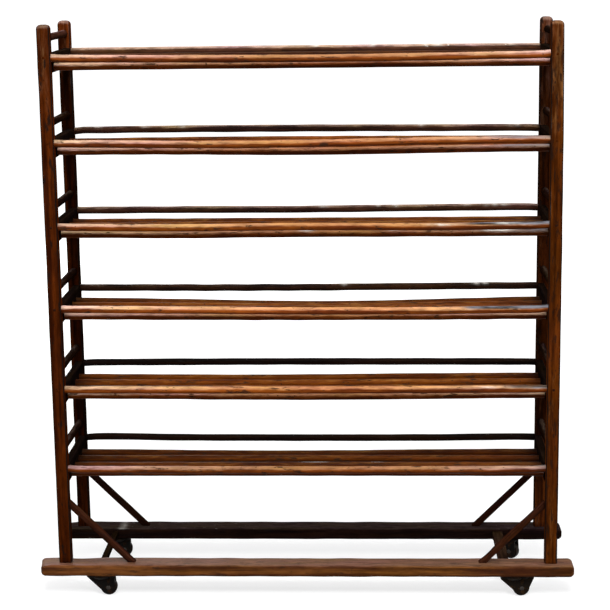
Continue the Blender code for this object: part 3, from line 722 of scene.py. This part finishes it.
def make_post(end, side):
    """A corner post from its rail to its rounded top, with a peg for each lip."""
    node = f"{end}_{side}_post"
    middle, half = box_of(node)
    material, bow, tint, tone = POST_LOOKS[end, side]
    # The eased top, paled by tips, is dust and wear and partly a painted highlight.
    shell = member(
        (*middle[:2], RAIL_TOP + POST_FOOT_GAP), (*middle[:2], POST_TOP), (0, 1, 0), POST_RING, half[:2],
        POST_CORNER, ease=(0.0006, 0.013), count=90, bow=bow, uneven=0.00035,
        seed=11 + len(node) + int(2 * ENDS[end] + SIDES[side]), top=POST_RUBBING[side], rub=(0.0, -1.0, 0.0),
        edge=0.05, tips=1.0, joint=0.35, rim=0.78, tone=tone, tint=tint)
    face = middle[:2] + (0.0, ENDS[end] * half[1])
    pegs = [peg(face, lip, bow, soot) for lip, soot in zip(LIPS, PEG_SOOT[side])]
    piece(f"{node}_wood", [shell, *pegs], material, "rack", node)


def make_brace(end, side):
    """A diagonal brace from its rail to its post, mitred at both ends."""
    node = f"{end}_{side}_brace"
    sign = SIDES[side]
    (x, y, z), half = box_of(node)
    mitre = BRACE_THICKNESS / 2 * math.sqrt(2)
    foot = (x - sign * (half[0] - mitre), y, z - half[2])
    head = (x + sign * half[0], y, z + half[2] - mitre)
    shell = member(
        foot, head, (0, 1, 0), BOARD, (BRACE_THICKNESS / 2, half[1]), BRACE_CORNER, ease=(0.0005, 0.0005),
        count=60, slant=(sign, -sign), uneven=0.0003, nicks=BRACE_NICKS.get(node, ()),
        seed=31 + int(2 * ENDS[end] + sign), edge=0.25, top=0.55, joint=0.4, rim=0.25, tone=BRACE_TONES[end])
    piece(f"{node}_wood", [shell], BRACE_WOOD, "rack", node)


def make_rail(end):
    """A long base rail with rounded ends; the front one's left end is cut askew."""
    node = f"{end}_base_rail"
    (x, y, z), half = box_of(node)
    material, tone, skew, nicks, scrapes = RAIL_LOOKS[end]
    shell = member(
        (x - half[0] + skew * half[1], y, z), (x + half[0], y, z), (0, 0, 1), RAIL_RING, half[1:],
        RAIL_CORNER, ease=(0.0135, 0.015), count=150, slant=(skew, 0.0), uneven=0.0006, nicks=nicks,
        seed=51 + int(ENDS[end]), top=0.8, edge=0.1, tips=0.2, tone=tone, tint=0.4, scrapes=scrapes)
    piece(f"{node}_wood", [shell], material, "rack", node)


def make_stretcher(side):
    """A flat stretcher between the two rails."""
    node = f"{side}_base_stretcher"
    _, half = box_of(node)
    shell = member(
        *span(node, 1, SOCKET_PLAY), (0, 0, 1), BOARD, half[[0, 2]], STRETCHER_CORNER, uneven=0.0003,
        seed=71 + len(side), top=0.4, edge=0.2, joint=0.5, seat=0.016, tone=STRETCHER_TONES[side])
    piece(f"{node}_wood", [shell], STRETCHER_WOOD, "rack", node)


# Shelves: the tables go from the top shelf down, and a scrape is like a nick, but placed by the share

ROUND = dowel_ring(28)
# Way of the dowels' worn colour: up and to the front, where the highlight falls, so it is partly a painted
# highlight.
WEAR_AND_HIGHLIGHT_WAY = (0.0, -0.5, 0.866)
LIP_DIPS = [
    [(0.53, 0.5, 0.0092)], [(0.38, 0.3, 0.008)], [(0.25, 0.2, 0.0045), (0.75, 0.25, 0.0055)],
    [(0.65, 0.45, 0.0092)], [(0.5, 0.5, 0.0028)], [(0.5, 0.9, 0.0048)]]
REAR_LIP_DIPS = [
    [(0.6, 0.7, -0.0012)], [(0.3, 0.6, -0.0058)], [(0.46, 0.12, 0.0012), (0.95, 0.25, -0.0025)],
    [(0.42, 0.33, 0.003)], [(0.4, 0.6, -0.0035)],
    [(0.07, 0.1, -0.0035), (0.6, 0.35, 0.002), (0.94, 0.1, -0.002)]]
BED_DIPS = {
    (1, 3): [(0.5, 2.0, -0.0072)], (1, 4): [(0.5, 2.0, -0.0115)],
    (2, 1): [(0.53, 0.25, 0.0055)], (2, 3): [(0.4, 0.35, -0.0016)], (2, 4): [(0.4, 0.4, -0.0038)],
    (3, 1): [(0.25, 0.15, 0.0035), (0.75, 0.4, 0.0025)], (3, 4): [(0.5, 0.6, 0.0008)],
    (4, 1): [(0.65, 0.6, 0.0068)], (4, 3): [(0.55, 0.36, 0.0078)], (4, 4): [(0.55, 0.37, 0.016)],
    (5, 1): [(0.52, 0.36, 0.0058)], (5, 3): [(0.4, 0.3, 0.0025)], (5, 4): [(0.4, 0.3, 0.0042)],
    (6, 1): [(0.5, 0.8, -0.002)], (6, 2): [(0.5, 1.2, -0.0009)], (6, 4): [(0.45, 0.3, 0.006)]}
LIP_SOOT = [
    None, ramp(0.74, 0.92, 0.4), ramp(0.72, 0.87, 0.5), ramp(0.72, 0.88, 0.6), ramp(0.79, 0.94, 0.48),
    ramp(0.84, 1.0, 0.35)]
CLEAN_BEDS = (4, 5)
LIP_WEAR_AND_HIGHLIGHT = [0.95, 0.95, 0.95, 0.95, 0.82, 0.9]
LIP_TONES = [0.6, 0.73, 0.75, 0.98, 0.91, 0.58]
BED_TONES = [0.58, 0.7, 0.62, 0.82, 0.76, 0.55]
BACK_BED_TONES = [0.14, 0.72, 0.48, 0.46, 0.58, 0.33]
END_GAINS = [0.4, 0.1, 0.1, 0.05, 0.0, 0.0]
TINTS = [0.45, 0.45, 0.75, 0.55, 0.58, 0.4]
# Dust on the rear lips' tops, which is also a painted sheen:
REAR_DUST_AND_SHEEN = [0.97, 0.75, 0.8, 0.5, 0.0, 0.1]
# Tones of the rear lips' fronts, painted shade, deeper down the shelves; their backs take the lighter tone
# below.
REAR_TONES = [1.36, 1.15, 1.08, 0.68, 0.22, 0.24]
LIT_BACK_TONE = 2.6
GUARD_TONES = {"left_guard_rung_1": 1.4}
LIP_SCRAPES = {
    3: [(0.772, 2.35, 0.018, 0.42, 1.3), (0.905, 2.2, 0.016, 0.38, 1.1)], 5: [(0.87, 2.3, 0.014, 0.25, 0.8)]}
BED_SCRAPES = {
    (3, 1): [(0.506, 1.9, 0.012, 0.6, 1.0), (0.683, 1.9, 0.01, 0.6, 0.9), (0.89, 2.1, 0.028, 0.55, 1.6)]}
REAR_SCRAPE_SHARES = [
    (0.518, 0.522, 0.64, 0.753, 0.773, 0.781, 0.93), (0.06, 0.16, 0.24, 0.745, 0.93, 0.945),
    (0.536, 0.65, 0.69, 0.84, 0.88, 0.9, 0.92), (0.58, 0.86, 0.88), (), ()]


def dowel(start, end, **finish):
    """A round dowel from start to end."""
    return member(start, end, (0, 0, 1), ROUND, (DOWEL_RADIUS, DOWEL_RADIUS), DOWEL_RADIUS, **finish)


def make_lip(end, shelf, material, **finish):
    """A lip between two posts, darker where it goes into them: grime and painted contact shade."""
    node = f"{end}_lip_{shelf}"
    shell = dowel(
        *span(node, 0, SOCKET_PLAY), count=110, uneven=0.00045, seed=100 + 7 * shelf + int(ENDS[end]),
        joint=0.45, seat=0.013, reach=0.014, **finish)
    piece(f"{node}_wood", [shell], material, "rack", node)


def make_lips(shelf):
    """The lips of a shelf: the front one rubbed by hands, partly a painted highlight; the rear one dusty on
    top with a painted sheen, and its front painted in shade.
    """
    row = shelf - 1
    make_lip(
        "front", shelf, LIP_WOOD, bow=sag(LIP_DIPS[row]), top=LIP_WEAR_AND_HIGHLIGHT[row], rub=WEAR_AND_HIGHLIGHT_WAY,
        soot=LIP_SOOT[row], tone=brighter_ends(LIP_TONES[row], END_GAINS[row]), tint=TINTS[row],
        pale=paler_ends, scrapes=LIP_SCRAPES.get(shelf, ()))
    make_lip(
        "rear", shelf, REAR_LIP_WOOD, bow=sag(REAR_LIP_DIPS[row]), top=REAR_DUST_AND_SHEEN[row], spread=0.65,
        tone=lighter_towards((0, 1, 0), REAR_TONES[row], LIT_BACK_TONE), tint=0.6,
        scrapes=[(spot, 2.0, 0.005, 0.5, 1.0) for spot in REAR_SCRAPE_SHARES[row]])


def make_bed_dowel(shelf, number):
    """A dowel of a shelf's bed; the front one is finished like the lip, and those behind it are darker."""
    row = shelf - 1
    y = BED_FIRST + BED_PITCH * (number - 1)
    height = LIPS[row] - BED_DROP + BED_SLOPE * (number - 1)
    slight_dip = [(0.5, 0.4, 0.0015 * math.sin(shelf * 2.3 + number))]
    if number == 1:
        tone = brighter_ends(BED_TONES[row], END_GAINS[row])
        soot = None if shelf in CLEAN_BEDS else LIP_SOOT[row]
        finish = dict(top=0.95, joint=0.5, soot=soot, tone=tone, tint=TINTS[row] - 0.2, pale=paler_ends)
    else:
        # Back bed dowels: darker over a long reach at their ends, grime and painted shade of the posts and
        # bearers.
        finish = dict(top=0.48, joint=0.75, reach=0.06, tone=BACK_BED_TONES[row], tint=TINTS[row] + 0.5)
    shell = dowel(
        (-BED_REACH, y, height), (BED_REACH, y, height), count=110,
        bow=sag(BED_DIPS.get((shelf, number), slight_dip), fade=0.01), uneven=0.00045,
        seed=300 + 11 * shelf + number, rub=WEAR_AND_HIGHLIGHT_WAY, seat=0.013,
        scrapes=BED_SCRAPES.get((shelf, number), ()), **finish)
    piece(f"shelf_bed_{shelf}_dowel_{number}", [shell], BED_WOOD, "rack", f"shelf_bed_{shelf}")


def make_guard_rung(side, shelf):
    """A rung between the posts of one end, above the shelf."""
    node = f"{side}_guard_rung_{shelf}"
    shell = dowel(
        *span(node, 1, GUARD_PLAY), count=30, uneven=0.0004, seed=500 + 13 * shelf + int(SIDES[side]),
        top=0.6, joint=1.0, seat=0.008, tone=GUARD_TONES.get(node, 0.5))
    piece(f"{node}_wood", [shell], GUARD_WOOD, "rack", node)


def make_bearer(side, shelf):
    """The board at one end of a bed, between the posts; near black as painted shade, with a lighter outer
    face.
    """
    node = f"shelf_bed_{shelf}"
    sign = SIDES[side]
    (_, _, z), half = box_of(node)
    x = sign * (half[0] - BEARER_HALF)
    reach = POST_INNER_Y - BEARER_PLAY
    shell = member(
        (x, -reach, z), (x, reach, z), (0, 0, 1), BEARER_RING, (BEARER_HALF, half[2]),
        BEARER_CORNER, count=30, uneven=0.0003, seed=700 + 17 * shelf + int(sign), top=0.2, edge=0.2,
        joint=0.9, tone=lighter_towards((sign, 0, 0), 1.0, 4.5))
    piece(f"{node}_{side}_bearer", [shell], BEARER_WOOD, "rack", node)


# Casters

PLATE_RING = board_ring(6, 4)


def horn_side(eye, behind_reach, ahead_reach):
    """Outline of a horn's cheek in X and Z from the swivel's top: a bar, then tangents to a round eye."""
    ahead, behind = np.array([ahead_reach, -HORN_TIP]), np.array([-behind_reach, -HORN_TIP])
    first = math.atan2(*(ahead - eye)[::-1]) - math.acos(EYE_RADIUS / np.linalg.norm(ahead - eye))
    last = math.atan2(*(behind - eye)[::-1]) + math.acos(EYE_RADIUS / np.linalg.norm(behind - eye))
    angle = np.linspace(first, last - 2 * math.pi, 18)
    arc = eye + EYE_RADIUS * np.stack([np.cos(angle), np.sin(angle)], axis=1)
    top = np.stack([np.linspace(-behind_reach, ahead_reach, 5), np.zeros(5)], axis=1)
    return np.vstack([top, ahead, arc, behind])[::-1]


def make_plate(corner):
    """A caster's top plate with the head of its king pin and four screws."""
    node = f"{corner}_caster_plate"
    (x, y, z), half = box_of(node)
    top = z + half[2]
    plate = member(
        (x, y, top - PLATE_THICKNESS), (x, y, top), (0, 1, 0), PLATE_RING, half[:2], PLATE_CORNER,
        ease=(0.001, 0.0005), count=3, edge=0.3, tips=0.4)
    pin = turned(fillet(KING_PIN, KING_PIN_ROUNDING, 4), (x, y, 0.0), (0, 0, 1), 24)
    screws = [
        turned(SCREW_HEAD, (x + SCREW_X * a, y + SCREW_Y * b, 0.0), (0, 0, 1), 14, wear=SCREW_HEAD_WEAR)
        for a in (-1, 1) for b in (-1, 1)]
    piece(f"{node}_iron", [plate, pin, *screws], CAST_IRON, "rack", node)


def make_horn(corner, swivel, hub, axle):
    """A caster's horn: two cheeks, a web on either side of the king pin, and the cup of the swivel."""
    node = f"{corner}_caster_horn"
    ahead = np.array([axle[1], -axle[0], 0.0])
    eye = np.array([math.hypot(*(hub - swivel)[:2]), (hub - swivel)[2]])
    behind_reach, ahead_reach = LONG_HORN_REACH if corner == LONG_HORN else HORN_REACH
    outline = horn_side(eye, behind_reach, ahead_reach)
    cheeks = [
        cheek(outline, depth, swivel, ahead, axle)
        for depth in ((-CHEEK_OUTER, -CHEEK_INNER), (CHEEK_INNER, CHEEK_OUTER))]
    under = swivel - (0.0, 0.0, WEB_DROP)
    webs = [
        member(under + near * ahead, under + far * ahead, (0, 0, 1), BOARD, (CHEEK_OUTER, WEB_HALF),
               CHEEK_EDGE, ease=(CHEEK_EDGE, CHEEK_EDGE), count=8, edge=0.4)
        for near, far in ((-behind_reach, -KING_PIN_GAP), (KING_PIN_GAP, ahead_reach))]
    cup = turned(CUP, swivel, (0, 0, 1), 40, closed=True, wear=CUP_WEAR)
    material = RUSTY_IRON if corner == LONG_HORN else CAST_IRON
    piece(f"{node}_iron", [*cheeks, *webs, cup], material, f"{corner}_swivel", node)


def make_axle(corner, hub, axle):
    """A caster's axle: a rivet with a domed head at either end."""
    node = f"{corner}_caster_axle"
    half = [(radius, RIVET_HEAD_SEAT + height) for radius, height in RIVET_HEAD]
    outline = half + [(radius, -height) for radius, height in half[::-1]]
    rivet = turned(fillet(outline, RIVET_ROUNDING, 3), hub, axle, 24, tone=1.3)
    piece(f"{node}_steel", [rivet], AXLE_STEEL, f"{corner}_swivel", node)


def make_wheel(corner, hub, axle):
    """A caster's dished wheel, rubbed on its tread."""
    node = f"{corner}_caster_wheel"
    outline = np.vstack([WHEEL_SIDE, [(radius, -height) for radius, height in WHEEL_SIDE[-2::-1]]])
    wear = np.where(outline[:, 0] > TREAD_RADIUS, 0.55, 0.1)
    wheel = turned(outline, hub, axle, 56, closed=True, wear=wear)
    piece(f"{node}_iron", [wheel], WHEEL_IRON, f"{corner}_wheel", node)


def make_caster(corner):
    """A caster, placed by the joints of its swivel and its wheel."""
    swivel = np.array(JOINTS[f"{corner}_caster_swivel"]["pos_m"])
    rolling = JOINTS[f"{corner}_wheel_roll"]
    hub, axle = np.array(rolling["pos_m"]), np.array(rolling["axis"])
    make_plate(corner)
    make_horn(corner, swivel, hub, axle)
    make_axle(corner, hub, axle)
    make_wheel(corner, hub, axle)


# Floor, light and camera

FLOOR_REACH = 150.0
AIM = (0.0, 0.0, 0.9)
LAMPS = [
    ("front_lamp", (0.3, -5.5, 6.5), AIM, 2.6, 560.0), ("overhead_lamp", (0.0, -0.6, 7.0), AIM, 2.2, 160.0),
    ("left_lamp", (-6.0, -1.5, 3.2), AIM, 2.5, 90.0), ("right_lamp", (6.0, -1.5, 3.2), AIM, 2.5, 90.0),
    ("back_lamp", (-2.2, 6.5, 1.6), (0.0, 0.0, 0.8), 2.5, 130.0)]
CAMERA_PLACE = (0.1972, -4.9751, 1.9134)
CAMERA_YAW, CAMERA_PITCH, CAMERA_ROLL = 0.04, -0.2052, 0.0121
FOCAL_PIXELS, FRAME_PIXELS = 1652.07, 610.0
SENSOR_WIDTH = 36.0


def seen_white(tree):
    """1 for camera, glossy and transmission rays, which see plain white; 0 for the rays that carry light."""
    path, nodes = tree.nodes.new("ShaderNodeLightPath"), Tree(tree)
    shiny = nodes.math("MAXIMUM", path.outputs["Is Glossy Ray"], path.outputs["Is Transmission Ray"])
    return nodes.math("MAXIMUM", path.outputs["Is Camera Ray"], shiny)


def make_floor_paint():
    """A paint that shows white and keeps soft shadows near the rack; it throws little light back."""
    made = bpy.data.materials.new("pale_floor_paint")
    made.use_nodes = True
    tree = made.node_tree
    nodes = Tree(tree)
    shader, output = tree.nodes["Principled BSDF"], tree.nodes["Material Output"]
    shader.inputs["Base Color"].default_value = (0.1, 0.097, 0.094, 1.0)
    shader.inputs["Roughness"].default_value = 0.9
    shader.inputs["Specular IOR Level"].default_value = 0.0
    place = nodes.add("ShaderNodeTexCoord", output="Object")
    away = nodes.add("ShaderNodeVectorMath", {0: place}, output="Value", operation="LENGTH")
    strength = nodes.add("ShaderNodeMapRange", {
        "Value": away, "From Min": 1.0, "From Max": 4.0, "To Min": 0.72, "To Max": 1.0})
    glow = nodes.add("ShaderNodeEmission", {"Strength": strength})
    pale = nodes.add("ShaderNodeBsdfDiffuse", {"Color": (0.36, 0.36, 0.36, 1.0)})
    both = nodes.add("ShaderNodeAddShader", {0: pale, 1: glow})
    shown = nodes.add("ShaderNodeMixShader", {0: seen_white(tree), 1: shader.outputs[0], 2: both})
    tree.links.new(shown, output.inputs["Surface"])
    return made


def make_floor():
    """A wide flat floor."""
    mesh = bpy.data.meshes.new("pale_floor")
    corners = [(-1, -1), (1, -1), (1, 1), (-1, 1)]
    mesh.from_pydata([(x * FLOOR_REACH, y * FLOOR_REACH, 0) for x, y in corners], [], [(0, 1, 2, 3)])
    mesh.materials.append(make_floor_paint())
    new_object("pale_floor", mesh)


def make_world():
    """A white surround for the eye, and a soft grey light, brighter from above, for everything else."""
    world = bpy.data.worlds.new("soft_surround")
    SCENE.world = world
    world.use_nodes = True
    tree = world.node_tree
    tree.nodes.clear()
    nodes = Tree(tree)
    place = nodes.add("ShaderNodeTexCoord", output="Generated")
    up = nodes.add("ShaderNodeSeparateXYZ", {0: place}, output=2)
    sky = nodes.mix(nodes.step(up, -0.1, 0.9), (0.1, 0.1, 0.105, 1.0), (0.55, 0.56, 0.58, 1.0))
    light = nodes.add("ShaderNodeBackground", {"Color": sky})
    white = nodes.add("ShaderNodeBackground", {"Color": (1.0, 1.0, 1.0, 1.0)})
    shown = nodes.add("ShaderNodeMixShader", {0: seen_white(tree), 1: light, 2: white})
    tree.links.new(shown, tree.nodes.new("ShaderNodeOutputWorld").inputs["Surface"])


def make_lamp(name, place, aim, size, power):
    """A square soft lamp at a place, aimed at a point."""
    lamp = bpy.data.lights.new(name, "AREA")
    lamp.size, lamp.energy = size, power
    turn = (Vector(place) - Vector(aim)).to_track_quat("Z", "Y").to_matrix()
    new_object(name, lamp).matrix_world = Matrix.Translation(place) @ turn.to_4x4()


def make_camera():
    """The photograph's view: yaw about Z, then pitch, then roll, and the focal length in pixels."""
    turn = (
        Matrix.Rotation(CAMERA_YAW, 3, "Z") @ Matrix.Rotation(CAMERA_PITCH, 3, "X")
        @ Matrix.Rotation(CAMERA_ROLL, 3, "Y") @ Matrix.Rotation(math.pi / 2, 3, "X"))
    camera = bpy.data.cameras.new("camera")
    camera.sensor_width = SENSOR_WIDTH
    camera.lens = FOCAL_PIXELS * SENSOR_WIDTH / FRAME_PIXELS
    camera.clip_end = 400.0
    SCENE.camera = new_object("camera", camera)
    SCENE.camera.matrix_world = Matrix.Translation(CAMERA_PLACE) @ turn.to_4x4()


# The whole rack

for end in ENDS:
    for side in SIDES:
        make_post(end, side)
        make_brace(end, side)
    make_rail(end)
for side in SIDES:
    make_stretcher(side)
for shelf in SHELVES:
    make_lips(shelf)
    for number in BED_NUMBERS:
        make_bed_dowel(shelf, number)
    for side in SIDES:
        make_guard_rung(side, shelf)
        make_bearer(side, shelf)
for end in ENDS:
    for side in SIDES:
        make_caster(f"{end}_{side}")
make_floor()
make_world()
for lamp in LAMPS:
    make_lamp(*lamp)
make_camera()
SCENE.view_settings.view_transform = "Standard"
bpy.context.view_layer.update()
